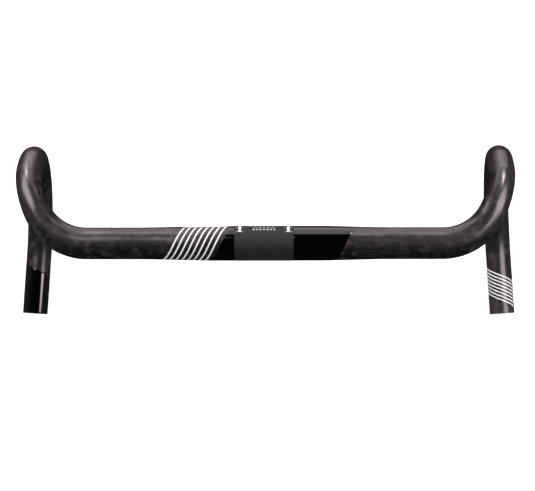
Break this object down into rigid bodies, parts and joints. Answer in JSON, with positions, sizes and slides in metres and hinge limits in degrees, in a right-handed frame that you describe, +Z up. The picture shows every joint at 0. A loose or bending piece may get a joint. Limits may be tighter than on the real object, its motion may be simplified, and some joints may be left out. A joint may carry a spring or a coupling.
{
  "type": "drop handlebar",
  "caption": "Drop handlebar with flattened tops, a round stem clamp, forward side bends, short ramps and canted drops whose ends splay outwards, with bonded joints under the lever zones.",
  "frame": {"origin": "centre of the stem clamp, on its axis", "axes": "+X along the clamp axis to the rider's right, +Y forward, +Z up"},
  "size_m": [0.478, 0.1578, 0.1535],
  "materials": {
    "satin_carbon": "satin clear over short-strand carbon",
    "gloss_black": "gloss black",
    "gloss_carbon": "gloss clear over streaked carbon",
    "clamp_grit": "fine grit, matte charcoal",
    "lever_grit": "fine grit, matte",
    "white_ink": "printed white under clear",
    "grey_ink": "printed grey",
    "raw_laminate": "peel-ply laminate",
    "adhesive": "cured epoxy"
  },
  "bodies": {
    "root": {"centre_section": "satin_carbon", "left_drop": "satin_carbon", "right_drop": "satin_carbon", "clamp_reinforcement": "raw_laminate", "left_joint_sleeve": "raw_laminate", "right_joint_sleeve": "raw_laminate", "left_bond_film": "adhesive", "right_bond_film": "adhesive", "clamp_grip_coat": "clamp_grit", "left_clamp_mark": "white_ink", "right_clamp_mark": "white_ink", "clamp_dashes": "white_ink", "left_gloss_band": "gloss_black", "right_gloss_band": "gloss_black", "top_stripes": "white_ink", "front_pinstripe": "white_ink", "left_lever_grip": "lever_grit", "right_lever_grip": "lever_grit", "left_lever_scale": "grey_ink", "right_lever_scale": "grey_ink", "left_drop_gloss": "gloss_black", "right_drop_gloss": "gloss_carbon", "drop_stripes": "white_ink"}
  },
  "joints": []
}
